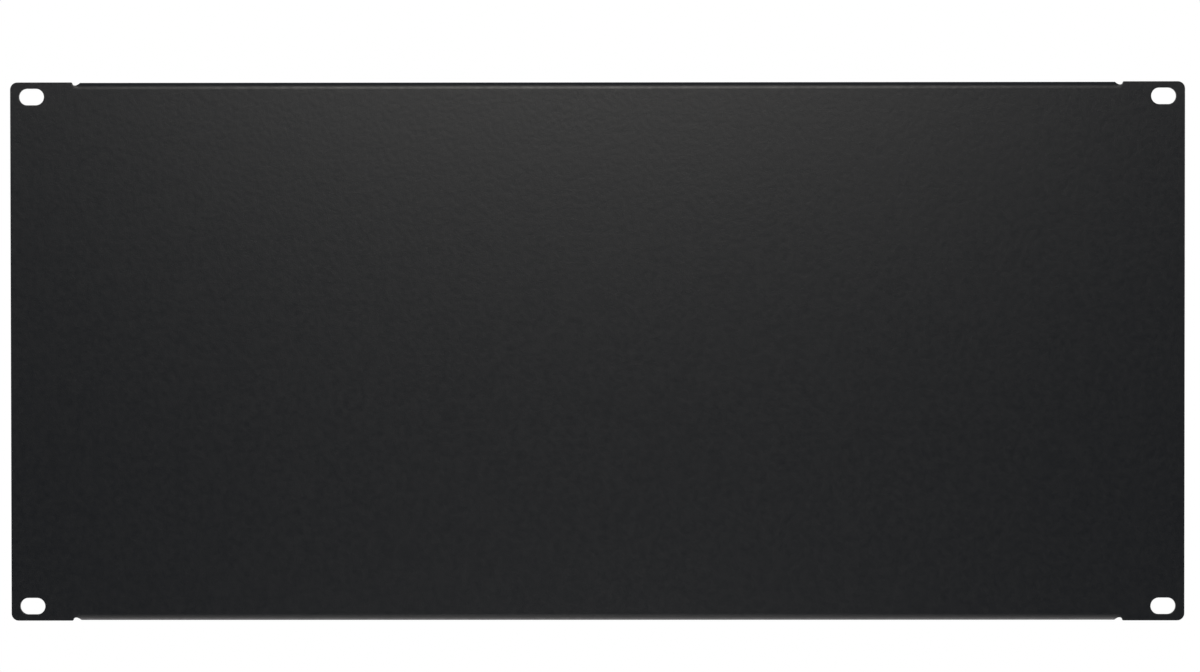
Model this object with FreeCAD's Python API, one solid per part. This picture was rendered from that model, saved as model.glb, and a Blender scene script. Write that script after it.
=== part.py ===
"""A 19-inch rack blanking panel: one steel sheet with its top and bottom edges folded back.

Millimetres. +X is to the right as seen from the front, +Z is up, and the front face looks along -Y.
The origin is the centre of the four rail slots, on the rear face that lies against the rack's rails.
"""
import FreeCAD, Part
import math
import os

# Height, in the units of a rack's hole pattern
UNIT_COUNT = 5
UNIT_HEIGHT = 44.45
HEIGHT_CLEARANCE = 0.75      # what the panel leaves free of the space it fills

# Sheet and outline
PANEL_WIDTH = 482.6
SHEET_THICKNESS = 1.5
CORNER_RADIUS = 3.0
EDGE_BREAK = 0.25            # bevel on the cut edges that a hand meets

# Rail slots
SLOT_LENGTH = 10.3
SLOT_WIDTH = 6.8
SLOT_SIDE_INSET = 8.75       # side edge of the panel to the centre of a slot
SLOT_UNIT_INSET = 6.35       # end of the outermost rack unit to the centre of a slot

# Folded edges, each between two round bend reliefs
FLANGE_DEPTH = 12.7          # front face to the free edge of a flange
FLANGE_CORNER_RADIUS = 1.0
BEND_INNER_RADIUS = 1.5
EAR_WIDTH = 25.4             # side edge of the panel to the rim of a relief
RELIEF_RADIUS = 1.4
RELIEF_MARGIN = 0.15         # rim of a relief to where the sheet is fully flat or fully bent

# Places that follow from them
HALF_WIDTH = PANEL_WIDTH / 2
SPACE_HEIGHT = UNIT_COUNT * UNIT_HEIGHT
HALF_HEIGHT = (SPACE_HEIGHT - HEIGHT_CLEARANCE) / 2
REAR_Y = 0.0
FRONT_Y = REAR_Y - SHEET_THICKNESS
SLOT_X = HALF_WIDTH - SLOT_SIDE_INSET
SLOT_Z = SPACE_HEIGHT / 2 - SLOT_UNIT_INSET
BEND_OUTER_RADIUS = BEND_INNER_RADIUS + SHEET_THICKNESS
BEND_START_Z = HALF_HEIGHT - BEND_OUTER_RADIUS
BEND_END_Y = REAR_Y + BEND_INNER_RADIUS
FLANGE_TIP_Y = FRONT_Y + FLANGE_DEPTH
RELIEF_X = HALF_WIDTH - EAR_WIDTH - RELIEF_RADIUS
EAR_START_X = RELIEF_X + RELIEF_RADIUS + RELIEF_MARGIN
FLANGE_END_X = RELIEF_X - RELIEF_RADIUS - RELIEF_MARGIN

CENTRE = FreeCAD.Vector(0, 0, 0)
ALONG_X = FreeCAD.Vector(1, 0, 0)
ALONG_Y = FreeCAD.Vector(0, 1, 0)
ALONG_Z = FreeCAD.Vector(0, 0, 1)
BOTH_SIDES = (-1, 1)
START_HALFWAY_END = (0, 45, 90)   # degrees turned through a bend
SAME_PLACE = 1e-6


def line(start, end):
    """Straight edge from start to end."""
    return Part.LineSegment(start, end).toShape()


def arc(start, middle, end):
    """Round edge from start through middle to end."""
    return Part.Arc(start, middle, end).toShape()


def sheet_inside(edges, across):
    """Sheet of the full thickness, with its outline in edges and its faces square to across."""
    return Part.Face(Part.Wire(edges)).extrude(across * SHEET_THICKNESS)


def edges_through(sheet, across):
    """Edges of a sheet that run through its thickness."""
    return [edge for edge in sheet.Edges
            if abs(edge.tangentAt(edge.FirstParameter).dot(across)) > 1 - SAME_PLACE]


def edges_around(sheet, across):
    """Edges of a sheet that run round its two faces."""
    return [edge for edge in sheet.Edges
            if abs(edge.tangentAt(edge.FirstParameter).dot(across)) < SAME_PLACE]


def rail_slot(x, z):
    """Round-ended slot that lets a screw find its rail hole, cut square through the sheet."""
    half_run = (SLOT_LENGTH - SLOT_WIDTH) / 2
    half_width = SLOT_WIDTH / 2

    def point(across, up):
        return FreeCAD.Vector(x + across, FRONT_Y, z + up)

    outline = [
        line(point(-half_run, half_width), point(half_run, half_width)),
        arc(point(half_run, half_width), point(SLOT_LENGTH / 2, 0), point(half_run, -half_width)),
        line(point(half_run, -half_width), point(-half_run, -half_width)),
        arc(point(-half_run, -half_width), point(-SLOT_LENGTH / 2, 0), point(-half_run, half_width)),
    ]
    return sheet_inside(outline, ALONG_Y)


def face_plate():
    """The flat of the panel: its ears reach the full height, and between them it ends at the bends."""
    right = [(EAR_START_X, BEND_START_Z), (EAR_START_X, HALF_HEIGHT), (HALF_WIDTH, HALF_HEIGHT)]
    right += [(x, -z) for x, z in reversed(right)]
    corners = right + [(-x, z) for x, z in reversed(right)]
    points = [FreeCAD.Vector(x, FRONT_Y, z) for x, z in corners + corners[:1]]
    plate = sheet_inside(Part.makePolygon(points).Edges, ALONG_Y)
    ear_corners = [edge for edge in edges_through(plate, ALONG_Y)
                   if abs(edge.CenterOfMass.x) > HALF_WIDTH - SAME_PLACE]
    plate = plate.makeFillet(CORNER_RADIUS, ear_corners)
    plate = plate.cut([rail_slot(side * SLOT_X, end * SLOT_Z) for side in BOTH_SIDES for end in BOTH_SIDES])
    ear_edges = [edge for edge in edges_around(plate, ALONG_Y)
                 if abs(edge.CenterOfMass.x) > EAR_START_X + SAME_PLACE]
    return plate.makeChamfer(EDGE_BREAK, ear_edges)


def bend_point(x, radius, degrees):
    """Point of the top bend at a distance from its centre line, turned from the face towards the flange."""
    turn = math.radians(degrees)
    return FreeCAD.Vector(x, BEND_END_Y - radius * math.cos(turn), BEND_START_Z + radius * math.sin(turn))


def bend_section(x):
    """Quarter ring that the sheet fills where it is bent."""
    outer = [bend_point(x, BEND_OUTER_RADIUS, degrees) for degrees in START_HALFWAY_END]
    inner = [bend_point(x, BEND_INNER_RADIUS, degrees) for degrees in reversed(START_HALFWAY_END)]
    return Part.Wire([arc(*outer), line(outer[-1], inner[0]), arc(*inner), line(inner[-1], outer[0])])


def ear_section(x):
    """The same stretch of sheet where it stays flat, at the side of an ear."""
    corners = [(FRONT_Y, BEND_START_Z), (FRONT_Y, HALF_HEIGHT), (REAR_Y, HALF_HEIGHT), (REAR_Y, BEND_START_Z)]
    return Part.makePolygon([FreeCAD.Vector(x, y, z) for y, z in corners + corners[:1]])


def flange():
    """Flat of the top flange, with its two free corners rounded."""
    corners = [(-FLANGE_END_X, BEND_END_Y), (FLANGE_END_X, BEND_END_Y),
               (FLANGE_END_X, FLANGE_TIP_Y), (-FLANGE_END_X, FLANGE_TIP_Y)]
    under_side_z = HALF_HEIGHT - SHEET_THICKNESS
    points = [FreeCAD.Vector(x, y, under_side_z) for x, y in corners + corners[:1]]
    sheet = sheet_inside(Part.makePolygon(points).Edges, ALONG_Z)
    free_corners = [edge for edge in edges_through(sheet, ALONG_Z) if edge.CenterOfMass.y > BEND_END_Y + SAME_PLACE]
    sheet = sheet.makeFillet(FLANGE_CORNER_RADIUS, free_corners)
    free_edges = [edge for edge in edges_around(sheet, ALONG_Z) if edge.CenterOfMass.y > BEND_END_Y + SAME_PLACE]
    return sheet.makeChamfer(EDGE_BREAK, free_edges)


def top_fold():
    """Bend and flange along the top, with the sheet easing from bent to flat below each relief."""
    bend = Part.Face(bend_section(-FLANGE_END_X)).extrude(ALONG_X * 2 * FLANGE_END_X)
    right_run_out = Part.makeLoft([bend_section(FLANGE_END_X), ear_section(EAR_START_X)], True, True)
    left_run_out = right_run_out.mirror(CENTRE, ALONG_X)
    return bend.fuse([flange(), right_run_out, left_run_out])


def bend_relief(side, end):
    """Round cut at the edge of the sheet, between an ear and the end of a flange."""
    base = FreeCAD.Vector(side * RELIEF_X, FRONT_Y, end * HALF_HEIGHT)
    return Part.makeCylinder(RELIEF_RADIUS, BEND_OUTER_RADIUS, base, ALONG_Y)


def blanking_panel():
    """The whole folded sheet."""
    top = top_fold()
    folded = face_plate().fuse([top, top.mirror(CENTRE, ALONG_Z)])
    reliefs = [bend_relief(side, end) for side in BOTH_SIDES for end in BOTH_SIDES]
    return folded.cut(reliefs).removeSplitter()


os.makedirs("parts", exist_ok=True)
panel = blanking_panel()
panel.exportStep("parts/blanking_panel.step")
print(f"blanking_panel: {len(panel.Solids)} solid, {panel.Volume:.0f} cubic mm, valid {panel.isValid()}")
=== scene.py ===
"""A blanking panel for a 19-inch rack, in black powder coat with a fine texture.

The panel is one steel sheet. It is drawn here as a flat blank, with its slots, round corners and bend
reliefs, gets its rounded cut edges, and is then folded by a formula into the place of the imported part.
All sizes are in metres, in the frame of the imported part.
"""

import logging
import math
from dataclasses import dataclass
from enum import Enum

import bpy
import numpy as np
from mathutils import Euler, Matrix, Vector
from numpy.typing import NDArray


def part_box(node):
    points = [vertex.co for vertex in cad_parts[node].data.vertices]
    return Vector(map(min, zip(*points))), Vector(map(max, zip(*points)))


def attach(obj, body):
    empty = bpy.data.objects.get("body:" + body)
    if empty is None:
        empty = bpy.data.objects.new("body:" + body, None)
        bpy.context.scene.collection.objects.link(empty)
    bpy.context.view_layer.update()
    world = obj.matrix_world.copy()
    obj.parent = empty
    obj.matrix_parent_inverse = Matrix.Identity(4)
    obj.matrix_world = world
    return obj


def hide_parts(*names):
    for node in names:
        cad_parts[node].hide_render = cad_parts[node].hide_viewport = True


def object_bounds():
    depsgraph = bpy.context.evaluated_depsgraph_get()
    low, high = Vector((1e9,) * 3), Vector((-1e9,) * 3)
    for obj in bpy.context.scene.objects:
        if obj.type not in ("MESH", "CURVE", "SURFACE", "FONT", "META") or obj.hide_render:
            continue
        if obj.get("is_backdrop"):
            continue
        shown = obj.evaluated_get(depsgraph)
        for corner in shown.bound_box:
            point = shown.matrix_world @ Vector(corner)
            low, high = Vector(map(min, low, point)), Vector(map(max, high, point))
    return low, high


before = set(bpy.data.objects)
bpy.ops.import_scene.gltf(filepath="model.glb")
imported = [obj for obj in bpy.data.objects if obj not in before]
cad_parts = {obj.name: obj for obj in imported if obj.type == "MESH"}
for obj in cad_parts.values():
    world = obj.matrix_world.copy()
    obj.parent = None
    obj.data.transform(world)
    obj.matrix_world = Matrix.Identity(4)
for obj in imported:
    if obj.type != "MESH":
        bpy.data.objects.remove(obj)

Array = NDArray[np.float64]
Whole = NDArray[np.int64]
Pair = tuple[float, float]
Place = tuple[float, float, float]
Colour = tuple[float, float, float]
Nodes = bpy.types.NodeTree
Socket = bpy.types.NodeSocket

LOG = logging.getLogger("blanking_panel")
NODE = "blanking_panel"
BODY = "root"
WELD = 1e-7  # points nearer than this are one point


class SheetFace(Enum):
    """A face of the sheet, as its side of the sheet's middle layer."""

    FRONT = 1.0
    REAR = -1.0


def spaced(start: float, stop: float, steps: int) -> Array:
    """Even values from start to stop, both of them included."""
    return np.linspace(start, stop, steps + 1)


def joined(*stretches: Array) -> Array:
    """Stretches of values or points end to end, each one starting where the last one ended."""
    return np.concatenate([stretches[0]] + [stretch[1:] for stretch in stretches[1:]])


def points(across: Array | float, up: Array | float) -> Array:
    """Points of the flat blank, from their places across and up, one row each."""
    return np.stack(np.broadcast_arrays(np.asarray(across, float), np.asarray(up, float)), axis=-1)


def round_points(centre: Pair, radius: float, degrees: Array) -> Array:
    """Points on a circle: centre plus radius times (cosine, sine) of each angle.

    Args:
        centre: the circle's centre, across and up.
        radius: its radius.
        degrees: the angles, from the right and turning upwards.
    Returns:
        One row for each angle.
    """
    turn = np.radians(degrees)
    return points(centre[0] + radius * np.cos(turn), centre[1] + radius * np.sin(turn))


def eased(share: Array) -> Array:
    """Smooth step from 0 to 1, as 3 s squared minus 2 s cubed, level at both ends."""
    held = np.clip(share, 0.0, 1.0)
    return held * held * (3.0 - 2.0 * held)


def patch_between(south: Array, north: Array, west: Array, east: Array) -> Array:
    """Grid stretched between four sides that share their corners.

    Each point is the mean of south and north weighted by its height, plus the mean of west and east
    weighted by its place across, less the same weighted mean of the four corners.

    Args:
        south, north: points along the lower and upper side, from west to east.
        west, east: points along the left and right side, from south to north.
    Returns:
        Points with the place across as first index and the height as second.
    """
    across = np.linspace(0.0, 1.0, len(south))[:, None, None]
    height = np.linspace(0.0, 1.0, len(west))[None, :, None]
    lower_to_upper = (1 - height) * south[:, None] + height * north[:, None]
    left_to_right = (1 - across) * west[None] + across * east[None]
    corners = (1 - across) * ((1 - height) * west[0] + height * west[-1])
    corners = corners + across * ((1 - height) * east[0] + height * east[-1])
    return lower_to_upper + left_to_right - corners


def patch_from_edge(inner: Array, outer: Array, share: Array) -> Array:
    """Grid of straight lines, each from a point of one edge to the point of the same number of another.

    Args:
        inner, outer: the two edges, as many points in each.
        share: how far along the lines the grid's points lie, from 0 to 1.
    Returns:
        Points with the number along the edges as first index.
    """
    part = share[None, :, None]
    return inner[:, None] * (1 - part) + outer[:, None] * part


def upright_patch(columns: Array, rows: Array) -> Array:
    """Grid with a point wherever a column crosses a row, with the column as first index."""
    return points(*np.meshgrid(columns, rows, indexing="ij"))


@dataclass(frozen=True)
class PanelSizes:
    """Sizes of the sheet, and the places that follow from them. The panel's middle is at 0 across and up."""

    half_width: float
    half_height: float
    front_y: float
    flange_depth: float
    thickness: float = 0.0015
    corner_radius: float = 0.003
    edge_radius: float = 0.00025
    edge_band: float = 0.00032  # cut edge to where the flat of a face begins
    height_clearance: float = 0.00075  # by which the panel is lower than its rack units
    slot_length: float = 0.0103
    slot_width: float = 0.0068
    slot_side_inset: float = 0.00875  # slot's centre to the panel's side
    slot_unit_inset: float = 0.00635  # slot's centre to the end of its rack unit
    ear_width: float = 0.0254  # panel's side to the rim of a relief
    relief_radius: float = 0.0014
    relief_corner_radius: float = 0.0004
    relief_margin: float = 0.00015  # rim of a relief to the fully bent and to the fully flat sheet
    flange_corner_radius: float = 0.001
    bend_inner_radius: float = 0.0015

    @classmethod
    def of_packed_part(cls) -> "PanelSizes":
        """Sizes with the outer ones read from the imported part's box."""
        low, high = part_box(NODE)
        return cls(half_width=high[0], half_height=high[2], front_y=low[1], flange_depth=high[1] - low[1])

    @property
    def slot_x(self) -> float:
        """Distance from the middle to a slot's centre, across."""
        return self.half_width - self.slot_side_inset

    @property
    def slot_z(self) -> float:
        """Height of an upper slot's centre."""
        return self.half_height + self.height_clearance / 2 - self.slot_unit_inset

    @property
    def relief_x(self) -> float:
        """Distance from the middle to a relief's centre, across."""
        return self.half_width - self.ear_width - self.relief_radius

    @property
    def flange_end(self) -> float:
        """Distance from the middle to a flange's end, up to which the sheet is fully bent."""
        return self.relief_x - self.relief_radius - self.relief_margin

    @property
    def ear_start(self) -> float:
        """Distance from the middle to where the sheet is fully flat."""
        return self.relief_x + self.relief_radius + self.relief_margin

    @property
    def middle_radius(self) -> float:
        """Radius of a bend at the sheet's middle layer."""
        return self.bend_inner_radius + self.thickness / 2

    @property
    def bend_start(self) -> float:
        """Height in the blank where a bend begins."""
        return self.half_height - self.bend_inner_radius - self.thickness

    @property
    def bend_end(self) -> float:
        """Height in the blank where a bend has turned through a right angle."""
        return self.bend_start + self.middle_radius * math.pi / 2

    @property
    def blank_top(self) -> float:
        """Height in the blank of a flange's free edge."""
        return self.bend_end + self.flange_depth - self.thickness - self.bend_inner_radius


@dataclass(frozen=True)
class PatchSteps:
    """Numbers of steps along the sides and lines of the blank's patches."""

    strip_across: int = 72
    middle_up: int = 20  # panel's middle to the patch round a slot
    ear_up: int = 12  # from there to the collar round a relief
    bend_up: int = 22  # start of a bend to the relief's centre
    bend_rest: int = 4  # from there to the end of the bend
    flange_up: int = 9  # end of a bend to the round of the flange's corner
    half_corner: int = 6  # half of that round
    collar_out: int = 12  # relief's rim to the collar's outer edge
    collar_across: int = 24  # lower side of the collar
    relief_rise: int = 5  # relief's rim, up the ear's side
    relief_corner: int = 7  # small round from there to the ear's upper edge
    ear_across: int = 26
    ear_corner: int = 14
    ear_side: int = 12  # round of the ear's corner to the lower side of the slot's patch
    slot_out: int = 8  # slot's rim to the outer edge of its patch

    @property
    def collar_side(self) -> int:
        """Steps up the collar's side towards the ear, as many as up the relief and its small round."""
        return self.relief_rise + self.relief_corner


@dataclass(frozen=True)
class BlankPlan:
    """The flat blank as patches of grid, each one drawn to where the rounding of the cut edges begins.

    A plain strip with the flanges makes the middle. A collar goes round each relief and a patch round each
    slot, with plain patches between them. Patches that meet have the same points along their seam.
    """

    sizes: PanelSizes
    steps: PatchSteps = PatchSteps()
    collar_west: float = 0.0036  # relief's centre to the middle strip
    collar_east: float = 0.0041  # relief's centre to the collar's side towards the ear
    collar_crowding: float = 1.3  # power that draws the collar's rings to the relief
    bend_margin: float = 0.00015  # flat row beside a bend's start and end
    slot_patch_drop: float = 0.005975  # slot's centre to the lower side of its patch
    easing_length: float = 0.00105  # along a flange's end, from the relief's rim to the straight

    @property
    def strip_side(self) -> float:
        """Distance from the middle to the side of the plain middle strip."""
        return self.sizes.relief_x - self.collar_west

    @property
    def collar_side(self) -> float:
        """Distance from the middle to the collar's side towards the ear."""
        return self.sizes.relief_x + self.collar_east

    @property
    def collar_bottom(self) -> float:
        """Height of the collar's lower side."""
        return self.sizes.bend_start - self.bend_margin

    @property
    def collar_drop(self) -> float:
        """Distance from the relief's centre down to the collar's lower side."""
        return self.sizes.half_height - self.collar_bottom

    @property
    def slot_patch_bottom(self) -> float:
        """Height of the lower side of the patch round a slot."""
        return self.sizes.slot_z - self.slot_patch_drop

    @property
    def rim_radius(self) -> float:
        """Distance from the relief's centre to where the rounding of its edge ends."""
        return self.sizes.relief_radius + self.sizes.edge_band

    def middle_rows(self) -> Array:
        """Heights from the middle up to the patches round the slots."""
        return spaced(0.0, self.slot_patch_bottom, self.steps.middle_up)

    def ear_rows(self) -> Array:
        """Heights along the side of a slot's patch, up to the collar."""
        return spaced(self.slot_patch_bottom, self.collar_bottom, self.steps.ear_up)

    def collar_side_rows(self) -> Array:
        """Heights up the collar's side towards the ear, to the ear's upper edge."""
        top = self.sizes.half_height - self.sizes.edge_band
        return spaced(self.collar_bottom, top, self.steps.collar_side)

    def bend_rows(self) -> Array:
        """Heights from the collar's lower side, through the bend's start, to the relief's centre."""
        bent = spaced(self.sizes.bend_start, self.sizes.half_height, self.steps.bend_up)
        return np.concatenate([[self.collar_bottom], bent])

    def flange_rows(self) -> Array:
        """Heights from the relief's centre, through the rest of the bend, to the free edge of the flange.

        Returns:
            The heights in order, up to where the rounding of the free edge begins.
        """
        size, steps = self.sizes, self.steps
        corner = size.blank_top - size.flange_corner_radius
        return joined(
            spaced(size.half_height, size.bend_end, steps.bend_rest),
            spaced(size.bend_end, size.bend_end + self.bend_margin, 1),
            spaced(size.bend_end + self.bend_margin, corner, steps.flange_up),
            spaced(corner, size.blank_top - size.edge_band, steps.half_corner),
        )

    def strip_patch(self) -> Array:
        """Plain middle strip, from one flange's free edge to the other's.

        Returns:
            Points with the place across as first index.
        """
        columns = spaced(-self.strip_side, self.strip_side, self.steps.strip_across)
        upper = joined(self.middle_rows(), self.ear_rows(), self.bend_rows(), self.flange_rows())
        return upright_patch(columns, joined(-upper[::-1], upper))

    def flange_corner(self, start: float, stop: float) -> Array:
        """Half of the round of a flange's corner.

        Args:
            start, stop: the angles in degrees between which it lies.
        Returns:
            One row for each point.
        """
        size = self.sizes
        centre = (size.flange_end - size.flange_corner_radius, size.blank_top - size.flange_corner_radius)
        turn = spaced(start, stop, self.steps.half_corner)
        return round_points(centre, size.flange_corner_radius - size.edge_band, turn)

    def flange_side(self) -> Array:
        """Edge of the flange's end, which eases in from the relief's rim to a straight line.

        Returns:
            One row for each point, from the relief's centre's height to the middle of the corner's round.
        """
        size = self.sizes
        rows = self.flange_rows()[: -self.steps.half_corner]
        further_out = size.relief_margin * (1 - eased((rows - size.half_height) / self.easing_length))
        straight = points(size.flange_end - size.edge_band + further_out, rows)
        return joined(straight, self.flange_corner(0.0, 45.0))

    def flange_patch(self) -> Array:
        """End of a flange, above the relief's centre.

        Returns:
            Points with the place across as first index.
        """
        size, steps = self.sizes, self.steps
        corner = self.flange_corner(45.0, 90.0)[::-1]
        columns = spaced(self.strip_side, float(corner[0, 0]), steps.collar_out - steps.half_corner)
        north = joined(points(columns, size.blank_top - size.edge_band), corner)
        south = self.relief_patch()[0, ::-1]
        west = points(self.strip_side, self.flange_rows())
        return patch_between(south, north, west, self.flange_side())

    def collar_lean(self) -> Array:
        """Lean in radians, away from straight down, of the lines to the collar's lower side.

        Returns:
            One angle for each line, from the middle strip to the ear.
        """
        west = -math.atan2(self.collar_west, self.collar_drop)
        east = math.atan2(self.collar_east, self.collar_drop)
        return spaced(west, east, self.steps.collar_across)

    def collar_columns(self) -> Array:
        """Places across of the points on the collar's lower side."""
        return self.sizes.relief_x + self.collar_drop * np.tan(self.collar_lean())

    def collar_box(self) -> Array:
        """Outer edge of the collar, three sides of a box that is open at the top.

        Returns:
            One row for each point, down the middle strip, along the lower side and up the ear's side.
        """
        west = points(self.strip_side, self.bend_rows()[::-1])
        south = points(self.collar_columns(), self.collar_bottom)
        east = points(self.collar_side, self.collar_side_rows())
        return joined(west, south, east)

    def relief_edge(self) -> Array:
        """Inner edge of the collar: the relief's rim and the small round where it meets the ear's upper edge.

        The rim's points lie towards the box's points on its west and lower side. The small round's centre
        lies its own radius below the ear's edge, and both radii away from the relief's centre.

        Returns:
            One row for each point of the box.
        """
        size, steps = self.sizes, self.steps
        west = 180.0 + np.degrees(np.arctan2(size.half_height - self.bend_rows()[::-1], self.collar_west))
        south = 270.0 + np.degrees(self.collar_lean())
        small = size.relief_corner_radius
        apart = size.relief_radius + small
        meeting = math.degrees(math.asin(small / apart))
        rise = spaced(float(south[-1]), 360.0 - meeting, steps.relief_rise)
        rim = round_points((size.relief_x, size.half_height), self.rim_radius, joined(west, south, rise))
        centre = (size.relief_x + math.sqrt(apart**2 - small**2), size.half_height - small)
        turn = spaced(180.0 - meeting, 90.0, steps.relief_corner)
        return joined(rim, round_points(centre, small - size.edge_band, turn))

    def relief_patch(self) -> Array:
        """Collar round a relief, of straight lines from its inner to its outer edge.

        Returns:
            Points with the number along the edges as first index.
        """
        share = spaced(0.0, 1.0, self.steps.collar_out) ** self.collar_crowding
        return patch_from_edge(self.relief_edge(), self.collar_box(), share)

    def neck_patch(self) -> Array:
        """Plain strip between the middle strip and the ear, from one collar to the other."""
        upper = joined(self.middle_rows(), self.ear_rows())
        return upright_patch(self.collar_columns(), joined(-upper[::-1], upper))

    def ear_columns(self) -> Array:
        """Places across an ear, below the slot's patch."""
        return spaced(self.collar_side, self.sizes.half_width - self.sizes.edge_band, self.steps.ear_across)

    def ear_patch(self) -> Array:
        """Plain part of an ear, from one slot's patch to the other."""
        rows = self.middle_rows()
        return upright_patch(self.ear_columns(), joined(-rows[::-1], rows))

    def slot_patch(self) -> Array:
        """Corner of an ear round its slot.

        The outer edge runs round the corner of the ear. Each line goes straight from there to the nearest
        point of the slot's rim: a slot is every point within half its width of a short level line.

        Returns:
            Points with the number along the outer edge as first index.
        """
        size, steps = self.sizes, self.steps
        side, top = size.half_width - size.edge_band, size.half_height - size.edge_band
        centre = (size.half_width - size.corner_radius, size.half_height - size.corner_radius)
        outer = joined(
            points(self.collar_side, joined(self.ear_rows(), self.collar_side_rows())),
            points(spaced(self.collar_side, centre[0], steps.ear_across), top),
            round_points(centre, size.corner_radius - size.edge_band, spaced(90.0, 0.0, steps.ear_corner)),
            points(side, spaced(centre[1], self.slot_patch_bottom, steps.ear_side)),
            points(self.ear_columns()[::-1], self.slot_patch_bottom),
        )
        half_run = (size.slot_length - size.slot_width) / 2
        nearest = points(np.clip(outer[:, 0], size.slot_x - half_run, size.slot_x + half_run), size.slot_z)
        away = outer - nearest
        away = away / np.linalg.norm(away, axis=1, keepdims=True)
        rim = nearest + away * (size.slot_width / 2 + size.edge_band)
        return patch_from_edge(rim, outer, spaced(0.0, 1.0, steps.slot_out))

    def patches(self) -> list[Array]:
        """Every patch of the blank, with those of one side or corner mirrored to the others.

        Returns:
            Grids of points, whose cells may turn either way.
        """
        found = [self.strip_patch()]
        for patch in (self.neck_patch(), self.ear_patch()):
            found += [patch, patch * (-1, 1)]
        for patch in (self.flange_patch(), self.relief_patch(), self.slot_patch()):
            found += [patch * (side, end) for side in (1, -1) for end in (1, -1)]
        return found


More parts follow.
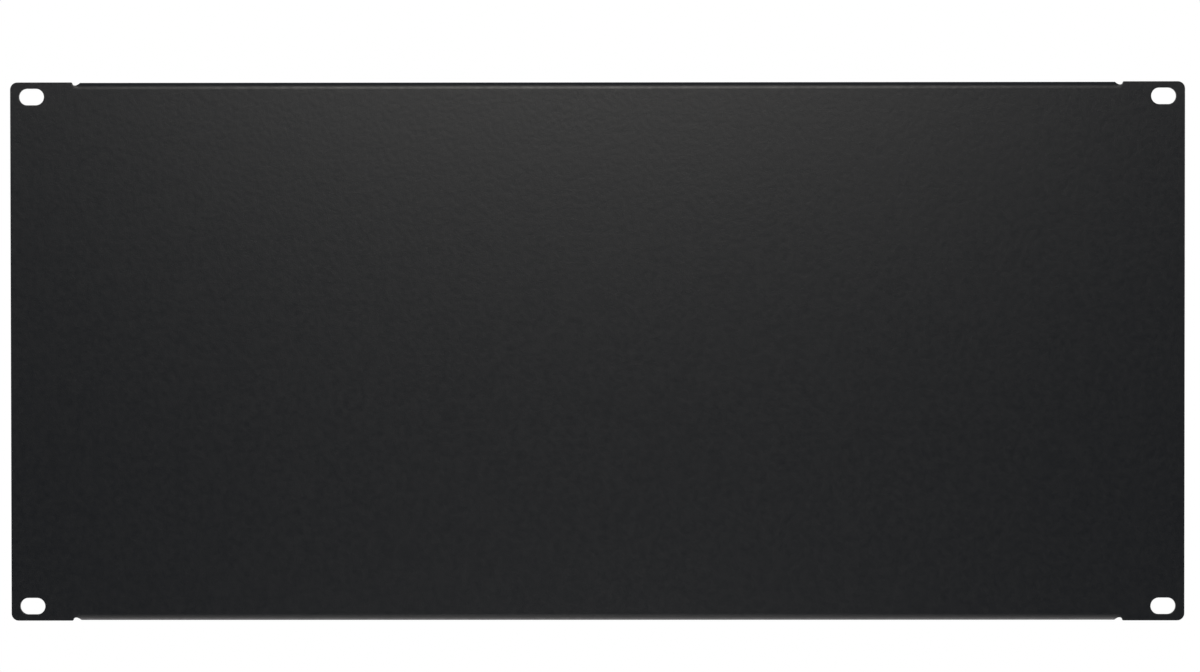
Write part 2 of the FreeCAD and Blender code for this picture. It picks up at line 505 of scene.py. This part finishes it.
@dataclass(frozen=True)
class FoldedSheet:
    """The panel: a flat blank with rounded cut edges, folded back along its top and bottom."""

    sizes: PanelSizes
    edge_steps: int = 5  # along a quarter round of a cut edge

    def flat_mesh(self) -> tuple[Array, Whole]:
        """Points and four-sided cells of the flat blank, with the patches welded along their seams.

        Returns:
            The points, and each cell as four numbers of points, turning left.
        """
        grids = BlankPlan(self.sizes).patches()
        cells, start = [], 0
        for grid in grids:
            number = start + np.arange(grid[..., 0].size).reshape(grid.shape[:2])
            corners = (number[:-1, :-1], number[1:, :-1], number[1:, 1:], number[:-1, 1:])
            cells.append(np.stack(corners, axis=-1).reshape(-1, 4))
            start += number.size
        every = np.concatenate([grid.reshape(-1, 2) for grid in grids])
        spot = np.round(every / WELD).astype(np.int64)
        _, first, same = np.unique(spot, axis=0, return_index=True, return_inverse=True)
        flat, quads = every[first], same.reshape(-1)[np.concatenate(cells)]
        rising, falling = flat[quads[:, 2]] - flat[quads[:, 0]], flat[quads[:, 3]] - flat[quads[:, 1]]
        twice_area = rising[:, 0] * falling[:, 1] - rising[:, 1] * falling[:, 0]
        quads = np.where(twice_area[:, None] < 0, quads[:, ::-1], quads)
        return flat, quads[np.abs(twice_area) > WELD**2]

    def open_edges(self, flat: Array, quads: Whole) -> tuple[Whole, Array]:
        """Cell sides that only one cell has, which are the cut edges, and the way out of the sheet there.

        Args:
            flat: the blank's points.
            quads: its cells, turning left.
        Returns:
            The sides as pairs of point numbers, and for every point the unit direction out of the sheet,
            which is the sum of its two sides' outward directions made one long.
        """
        sides = np.stack([quads, np.roll(quads, -1, axis=1)], -1).reshape(-1, 2)
        key = np.sort(sides, axis=1) @ np.array([len(flat), 1])
        _, first, count = np.unique(key, return_index=True, return_counts=True)
        rim = sides[first[count == 1]]
        along = flat[rim[:, 1]] - flat[rim[:, 0]]
        out = np.stack([along[:, 1], -along[:, 0]], -1) / np.linalg.norm(along, axis=1, keepdims=True)
        outward = np.zeros_like(flat)
        np.add.at(outward, rim.ravel(), np.repeat(out, 2, axis=0))
        length = np.linalg.norm(outward, axis=1, keepdims=True)
        return rim, outward / np.where(length > 0, length, 1.0)

    def edge_section(self) -> Array:
        """Section of a cut edge from the front face to the rear face.

        Returns:
            Rows of distance out from the edge's band and height above the middle layer: a quarter round,
            a straight side square to the sheet, and another quarter round.
        """
        size = self.sizes
        turn = np.radians(spaced(0.0, 90.0, self.edge_steps))
        out = size.edge_band - size.edge_radius * (1 - np.sin(turn))
        height = size.thickness / 2 - size.edge_radius * (1 - np.cos(turn))
        front = points(out, height)
        return np.concatenate([front, front[::-1] * (1, -1)])

    def folded(self, flat: Array, height: Array | float) -> Array:
        """Places in space of points of the blank.

        From a bend's start the middle layer turns at one over the bend's radius, times a share that eases
        from 1 at the flange's end to 0 at the ear, until the full bend's length is used up; from there it
        runs straight. An arc's chord is its length times the sine of half its turn over that half, and
        points along half its turn. Height is laid off square to the middle layer.

        Args:
            flat: places in the blank, across and up.
            height: distance in front of the middle layer.
        Returns:
            One row of x, y and z for each point.
        """
        size = self.sizes
        across, level = np.abs(flat[:, 0]), np.abs(flat[:, 1])
        past = np.maximum(level - size.bend_start, 0.0)
        in_bend = np.minimum(past, size.bend_end - size.bend_start)
        share = 1 - eased((across - size.flange_end) / (size.ear_start - size.flange_end))
        turn = in_bend * share / size.middle_radius
        chord = in_bend * np.sinc(turn / 2 / np.pi)
        straight = past - in_bend
        up = np.minimum(level, size.bend_start) + chord * np.cos(turn / 2)
        up = up + straight * np.cos(turn) + height * np.sin(turn)
        back = chord * np.sin(turn / 2) + straight * np.sin(turn) - height * np.cos(turn)
        return np.stack([flat[:, 0], size.front_y + size.thickness / 2 + back, np.sign(flat[:, 1]) * up], -1)

    def build(self) -> bpy.types.Object:
        """The folded sheet as one closed surface: both faces, and the section of the cut edge between them.

        Returns:
            The panel's object, at the origin.
        """
        flat, quads = self.flat_mesh()
        rim, outward = self.open_edges(flat, quads)
        half = self.sizes.thickness / 2
        levels = [self.folded(flat, side.value * half) for side in SheetFace]
        on_rim = np.unique(rim)
        place = np.zeros(len(flat), dtype=np.int64)
        place[on_rim] = np.arange(len(on_rim))
        start = 2 * len(flat)
        rows = []
        for out, height in self.edge_section():
            levels.append(self.folded(flat[on_rim] + outward[on_rim] * out, height))
            rows.append(start + len(rows) * len(on_rim) + place[rim])
        rings = [rim, *rows, rim + len(flat)]
        strips = [
            np.stack([ahead[:, 0], behind[:, 0], behind[:, 1], ahead[:, 1]], -1)
            for ahead, behind in zip(rings[:-1], rings[1:])
        ]
        faces = np.concatenate([quads, quads[:, ::-1] + len(flat), *strips])
        mesh = bpy.data.meshes.new("folded_sheet")
        mesh.from_pydata(np.concatenate(levels).tolist(), [], faces.tolist())
        mesh.polygons.foreach_set("use_smooth", np.ones(len(mesh.polygons), dtype=bool))
        mesh.update()
        panel = bpy.data.objects.new("folded_sheet", mesh)
        bpy.context.scene.collection.objects.link(panel)
        LOG.info("folded_sheet: %d points, %d cells", len(mesh.vertices), len(mesh.polygons))
        return panel

    def dress(self, panel: bpy.types.Object, finish: "PowderCoat") -> None:
        """Gives the sheet its coat, lets it ride on the part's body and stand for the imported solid.

        Args:
            panel: the folded sheet.
            finish: the coat.
        """
        panel.data.materials.append(finish.material())
        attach(panel, BODY)
        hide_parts(NODE)


@dataclass(frozen=True)
class FineTexture:
    """Surface of a fine-texture powder coat, as a shader node group: small round grains on a soft swell."""

    name: str = "fine_texture"
    grains_per_metre: float = 2600.0
    swells_per_metre: float = 450.0
    swell_share: float = 0.55
    detail: float = 1.0  # finer layers in each pattern
    grain_roughness: float = 0.5
    swell_roughness: float = 0.4

    def pattern(self, tree: Nodes, place: Socket, scale: Socket, roughness: float) -> Socket:
        """A soft random pattern.

        Args:
            tree: the group's nodes.
            place: gives the place.
            scale: gives the number of grains or swells in a metre.
            roughness: how much the pattern's finer layers count.
        Returns:
            The socket that gives the pattern, from 0 to 1.
        """
        noise = tree.nodes.new("ShaderNodeTexNoise")
        noise.inputs["Detail"].default_value = self.detail
        noise.inputs["Roughness"].default_value = roughness
        tree.links.new(place, noise.inputs["Vector"])
        tree.links.new(scale, noise.inputs["Scale"])
        return noise.outputs["Fac"]

    def group(self) -> Nodes:
        """The node group, built once.

        Returns:
            A group that takes a place and the grains' and swell's sizes, and gives Height, Grain and Swell,
            each from 0 to 1.
        """
        if self.name in bpy.data.node_groups:
            return bpy.data.node_groups[self.name]
        tree = bpy.data.node_groups.new(self.name, "ShaderNodeTree")
        face = tree.interface
        face.new_socket("Place", in_out="INPUT", socket_type="NodeSocketVector")
        values = {
            "Grains per metre": self.grains_per_metre,
            "Swells per metre": self.swells_per_metre,
            "Swell share": self.swell_share,
        }
        for name, value in values.items():
            face.new_socket(name, in_out="INPUT", socket_type="NodeSocketFloat").default_value = value
        for name in ("Height", "Grain", "Swell"):
            face.new_socket(name, in_out="OUTPUT", socket_type="NodeSocketFloat")
        given = tree.nodes.new("NodeGroupInput").outputs
        grain = self.pattern(tree, given["Place"], given["Grains per metre"], self.grain_roughness)
        swell = self.pattern(tree, given["Place"], given["Swells per metre"], self.swell_roughness)
        mix = tree.nodes.new("ShaderNodeMix")
        taken = tree.nodes.new("NodeGroupOutput").inputs
        link = tree.links.new
        link(given["Swell share"], mix.inputs["Factor"])
        link(grain, mix.inputs["A"])
        link(swell, mix.inputs["B"])
        link(mix.outputs["Result"], taken["Height"])
        link(grain, taken["Grain"])
        link(swell, taken["Swell"])
        return tree


@dataclass(frozen=True)
class PowderCoat:
    """Black polyester powder coat with a fine matt texture."""

    name: str = "powder_coat"
    dark: Colour = (0.0068, 0.0069, 0.0073)  # painted shade: the coat's colour between the grains, where the grain relief is low
    light: Colour = (0.0092, 0.0093, 0.0098)  # painted highlight: the coat's colour on the grains' tops
    smooth: float = 0.36  # roughness where the swell is lowest
    rough: float = 0.56  # roughness where it is highest
    refraction: float = 1.5
    specular: float = 0.45
    relief: float = 0.00011  # metres, for the whole range of the texture's height from 0 to 1

    def material(self) -> bpy.types.Material:
        """The coat's material.

        Returns:
            A material that reads places on the object alone.
        """
        made = bpy.data.materials.new(self.name)
        made.use_nodes = True
        tree = made.node_tree
        link = tree.links.new
        shader = tree.nodes["Principled BSDF"]
        shader.inputs["Metallic"].default_value = 0.0
        shader.inputs["IOR"].default_value = self.refraction
        shader.inputs["Specular IOR Level"].default_value = self.specular
        place = tree.nodes.new("ShaderNodeTexCoord")
        texture = tree.nodes.new("ShaderNodeGroup")
        texture.node_tree = FineTexture().group()
        link(place.outputs["Object"], texture.inputs["Place"])
        # painted light and shade of the grain relief: the coat is lighter on the grains' tops and darker
        # between them
        colour = tree.nodes.new("ShaderNodeMix")
        colour.data_type = "RGBA"
        colour.inputs["A"].default_value = (*self.dark, 1.0)
        colour.inputs["B"].default_value = (*self.light, 1.0)
        link(texture.outputs["Grain"], colour.inputs["Factor"])
        link(colour.outputs["Result"], shader.inputs["Base Color"])
        gloss = tree.nodes.new("ShaderNodeMapRange")
        gloss.inputs["To Min"].default_value = self.smooth
        gloss.inputs["To Max"].default_value = self.rough
        link(texture.outputs["Swell"], gloss.inputs["Value"])
        link(gloss.outputs["Result"], shader.inputs["Roughness"])
        bump = tree.nodes.new("ShaderNodeBump")
        bump.inputs["Strength"].default_value = 1.0
        bump.inputs["Distance"].default_value = self.relief
        link(texture.outputs["Height"], bump.inputs["Height"])
        link(bump.outputs["Normal"], shader.inputs["Normal"])
        return made


@dataclass(frozen=True)
class Lamp:
    """A soft rectangular lamp that looks at a point."""

    name: str
    place: Place
    aim: Place
    width: float
    height: float
    watts: float
    colour: Colour

    def build(self) -> bpy.types.Object:
        """Makes the lamp.

        Returns:
            The lamp's object, turned to its aim.
        """
        light = bpy.data.lights.new(self.name, "AREA")
        light.shape = "RECTANGLE"
        light.size, light.size_y = self.width, self.height
        light.energy = self.watts
        light.color = self.colour
        lamp = bpy.data.objects.new(self.name, light)
        lamp.location = self.place
        lamp.rotation_euler = (Vector(self.aim) - Vector(self.place)).to_track_quat("-Z", "Y").to_euler()
        bpy.context.scene.collection.objects.link(lamp)
        return lamp


def smooth_step(tree: Nodes, value: Socket, ends: Pair, results: Pair = (0.0, 1.0)) -> Socket:
    """Adds a smooth step of a value to a material's or world's nodes.

    Args:
        tree: the nodes.
        value: gives the value.
        ends: the values where the step begins and ends.
        results: what the step gives before its beginning and past its end.
    Returns:
        The socket that gives the result.
    """
    step = tree.nodes.new("ShaderNodeMapRange")
    step.interpolation_type = "SMOOTHSTEP"
    for name, number in zip(("From Min", "From Max", "To Min", "To Max"), (*ends, *results)):
        step.inputs[name].default_value = number
    tree.links.new(value, step.inputs["Value"])
    return step.outputs["Result"]


def worked_out(tree: Nodes, operation: str, first: Socket | float, second: Socket) -> Socket:
    """Adds one operation on two values to a material's or world's nodes.

    Args:
        tree: the nodes.
        operation: the operation's name, as the node has it.
        first: gives the first value, or is a plain number.
        second: gives the second value.
    Returns:
        The socket that gives the result.
    """
    node = tree.nodes.new("ShaderNodeMath")
    node.operation = operation
    if isinstance(first, float):
        node.inputs[0].default_value = first
    else:
        tree.links.new(first, node.inputs[0])
    tree.links.new(second, node.inputs[1])
    return node.outputs["Value"]


@dataclass(frozen=True)
class Studio:
    """Pale floor below the panel, white surroundings and soft lamps."""

    panel_bottom: float
    floor_drop: float = 0.25
    floor_middle_y: float = 0.30
    floor_reach: Pair = (0.95, 0.65)
    floor_colour: Colour = (0.86, 0.86, 0.855)
    floor_roughness: float = 0.9
    floor_white: float = 0.75  # share of plain white that is seen at the floor's middle
    floor_fade: Pair = (0.25, 0.95)  # shares of the floor's reach between which that rises to all of it
    room_light: Colour = (0.105, 0.128, 0.164)
    sweep_light: Colour = (0.90, 0.90, 0.90)
    sweep_back: Pair = (-0.35, 0.15)  # how far back a direction points where the sweep fades in
    sweep_top: Pair = (0.20, 0.45)  # how high it points where the sweep fades out
    lamps: tuple[Lamp, ...] = (
        Lamp("key_lamp", place=(-0.017, -0.506, 0.399), aim=(0.0, 0.0, 0.0),
             width=0.467, height=0.268, watts=3.1, colour=(1.0, 0.965, 0.91)),
        Lamp("low_lamp", place=(0.0, -0.30, -0.30), aim=(0.0, 0.0, 0.0),
             width=0.30, height=0.20, watts=0.14, colour=(1.0, 0.985, 0.96)),
        Lamp("table_lamp", place=(0.0, 0.08, -0.34), aim=(0.0, 0.08, 0.0),
             width=1.0, height=0.22, watts=0.80, colour=(1.0, 0.955, 0.96)),
    )

    @property
    def floor_z(self) -> float:
        """Height of the floor."""
        return self.panel_bottom - self.floor_drop

    def floor(self) -> bpy.types.Object:
        """The floor, a flat oblong below the panel.

        Returns:
            The floor's object.
        """
        side, reach = self.floor_reach
        front, back = self.floor_middle_y - reach, self.floor_middle_y + reach
        corners = [(-side, front), (side, front), (side, back), (-side, back)]
        mesh = bpy.data.meshes.new("floor")
        mesh.from_pydata([(x, y, self.floor_z) for x, y in corners], [], [(0, 1, 2, 3)])
        floor = bpy.data.objects.new("floor", mesh)
        bpy.context.scene.collection.objects.link(floor)
        mesh.materials.append(self.floor_material())
        floor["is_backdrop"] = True
        return floor

    def floor_material(self) -> bpy.types.Material:
        """White floor that keeps the panel's shadow and runs out into the white surroundings.

        The camera sees a mix of plain white and the floor's own light and shade. White's share rises by a
        smooth step of the distance from the floor's middle, measured in shares of the floor's reach.

        Returns:
            The material.
        """
        made = bpy.data.materials.new("floor")
        made.use_nodes = True
        tree = made.node_tree
        link = tree.links.new
        paint = tree.nodes["Principled BSDF"]
        paint.inputs["Base Color"].default_value = (*self.floor_colour, 1.0)
        paint.inputs["Roughness"].default_value = self.floor_roughness
        white = tree.nodes.new("ShaderNodeEmission")
        white.inputs["Strength"].default_value = 1.0
        place = tree.nodes.new("ShaderNodeTexCoord")
        spread = tree.nodes.new("ShaderNodeMapping")
        spread.vector_type = "TEXTURE"
        spread.inputs["Location"].default_value = (0.0, self.floor_middle_y, self.floor_z)
        spread.inputs["Scale"].default_value = (*self.floor_reach, 1.0)
        far = tree.nodes.new("ShaderNodeVectorMath")
        far.operation = "LENGTH"
        mix = tree.nodes.new("ShaderNodeMixShader")
        link(place.outputs["Object"], spread.inputs["Vector"])
        link(spread.outputs["Vector"], far.inputs[0])
        clear = smooth_step(tree, far.outputs["Value"], self.floor_fade, (self.floor_white, 1.0))
        link(worked_out(tree, "MULTIPLY", clear, self.background_rays(tree)), mix.inputs["Fac"])
        link(paint.outputs["BSDF"], mix.inputs[1])
        link(white.outputs["Emission"], mix.inputs[2])
        link(mix.outputs["Shader"], tree.nodes["Material Output"].inputs["Surface"])
        return made

    def background_rays(self, tree: Nodes) -> Socket:
        """Share of a ray that shows the background: 1 for what is seen, also in gloss and through glass.

        Args:
            tree: the material's nodes.
        Returns:
            The socket that gives the share.
        """
        path = tree.nodes.new("ShaderNodeLightPath")
        found = path.outputs["Is Camera Ray"]
        for name in ("Is Glossy Ray", "Is Transmission Ray"):
            found = worked_out(tree, "MAXIMUM", found, path.outputs[name])
        return found

    def sweep_share(self, tree: Nodes) -> Socket:
        """Share of the white sweep in the light from a direction.

        It is one smooth step of how far the direction points back, times what another smooth step of how
        high it points leaves of 1.

        Args:
            tree: the world's nodes.
        Returns:
            The socket that gives the share.
        """
        direction = tree.nodes.new("ShaderNodeTexCoord")
        parts = tree.nodes.new("ShaderNodeSeparateXYZ")
        tree.links.new(direction.outputs["Generated"], parts.inputs["Vector"])
        behind = smooth_step(tree, parts.outputs["Y"], self.sweep_back)
        above = smooth_step(tree, parts.outputs["Z"], self.sweep_top)
        return worked_out(tree, "MULTIPLY", behind, worked_out(tree, "SUBTRACT", 1.0, above))

    def surroundings(self) -> None:
        """Light from all round: a white sweep behind, beside and below, and a dim room above and in front.

        The camera sees plain white everywhere.
        """
        world = bpy.data.worlds.new("surroundings")
        bpy.context.scene.world = world
        world.use_nodes = True
        tree = world.node_tree
        link = tree.links.new
        light = tree.nodes.new("ShaderNodeMix")
        light.data_type = "RGBA"
        light.inputs["A"].default_value = (*self.room_light, 1.0)
        light.inputs["B"].default_value = (*self.sweep_light, 1.0)
        link(self.sweep_share(tree), light.inputs["Factor"])
        lit = tree.nodes["Background"]
        link(light.outputs["Result"], lit.inputs["Color"])
        white = tree.nodes.new("ShaderNodeBackground")
        white.inputs["Color"].default_value = (1.0, 1.0, 1.0, 1.0)
        white.inputs["Strength"].default_value = 1.0
        seen = tree.nodes.new("ShaderNodeLightPath")
        mix = tree.nodes.new("ShaderNodeMixShader")
        link(seen.outputs["Is Camera Ray"], mix.inputs["Fac"])
        link(lit.outputs["Background"], mix.inputs[1])
        link(white.outputs["Background"], mix.inputs[2])
        link(mix.outputs["Shader"], tree.nodes["World Output"].inputs["Surface"])

    def build(self) -> None:
        """Sets up the floor, the surroundings and the lamps."""
        self.floor()
        self.surroundings()
        for lamp in self.lamps:
            lamp.build()
        LOG.info("studio: floor and %d lamps", len(self.lamps))


@dataclass(frozen=True)
class FrontCamera:
    """Camera in front of the panel, a little above its middle."""

    place: Place = (0.00663, -1.2, 0.01955)
    tilt: float = -0.6306  # degrees above level
    roll: float = 0.0439  # degrees
    pan: float = 0.2619  # degrees to the left
    lens: float = 87.487  # millimetres
    sensor_width: float = 36.0  # millimetres
    depth: Pair = (0.01, 50.0)  # nearest and farthest distance seen

    def build(self) -> bpy.types.Object:
        """Makes the camera.

        Returns:
            The camera's object, made the scene's camera.
        """
        data = bpy.data.cameras.new("front_camera")
        data.lens = self.lens
        data.sensor_width = self.sensor_width
        data.clip_start, data.clip_end = self.depth
        camera = bpy.data.objects.new("front_camera", data)
        camera.location = self.place
        turns = (90.0 + self.tilt, self.roll, self.pan)
        camera.rotation_euler = Euler([math.radians(turn) for turn in turns], "XYZ")
        bpy.context.scene.collection.objects.link(camera)
        bpy.context.scene.camera = camera
        return camera


def main() -> None:
    """Builds the panel, the studio and the camera in order."""
    logging.basicConfig(level=logging.INFO, format="%(name)s: %(message)s")
    packed_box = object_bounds()
    bpy.context.scene.view_settings.view_transform = "Standard"
    sheet = FoldedSheet(PanelSizes.of_packed_part())
    panel = sheet.build()
    sheet.dress(panel, PowderCoat())
    Studio(panel_bottom=packed_box[0].z).build()
    FrontCamera().build()


if __name__ == "__main__":
    main()
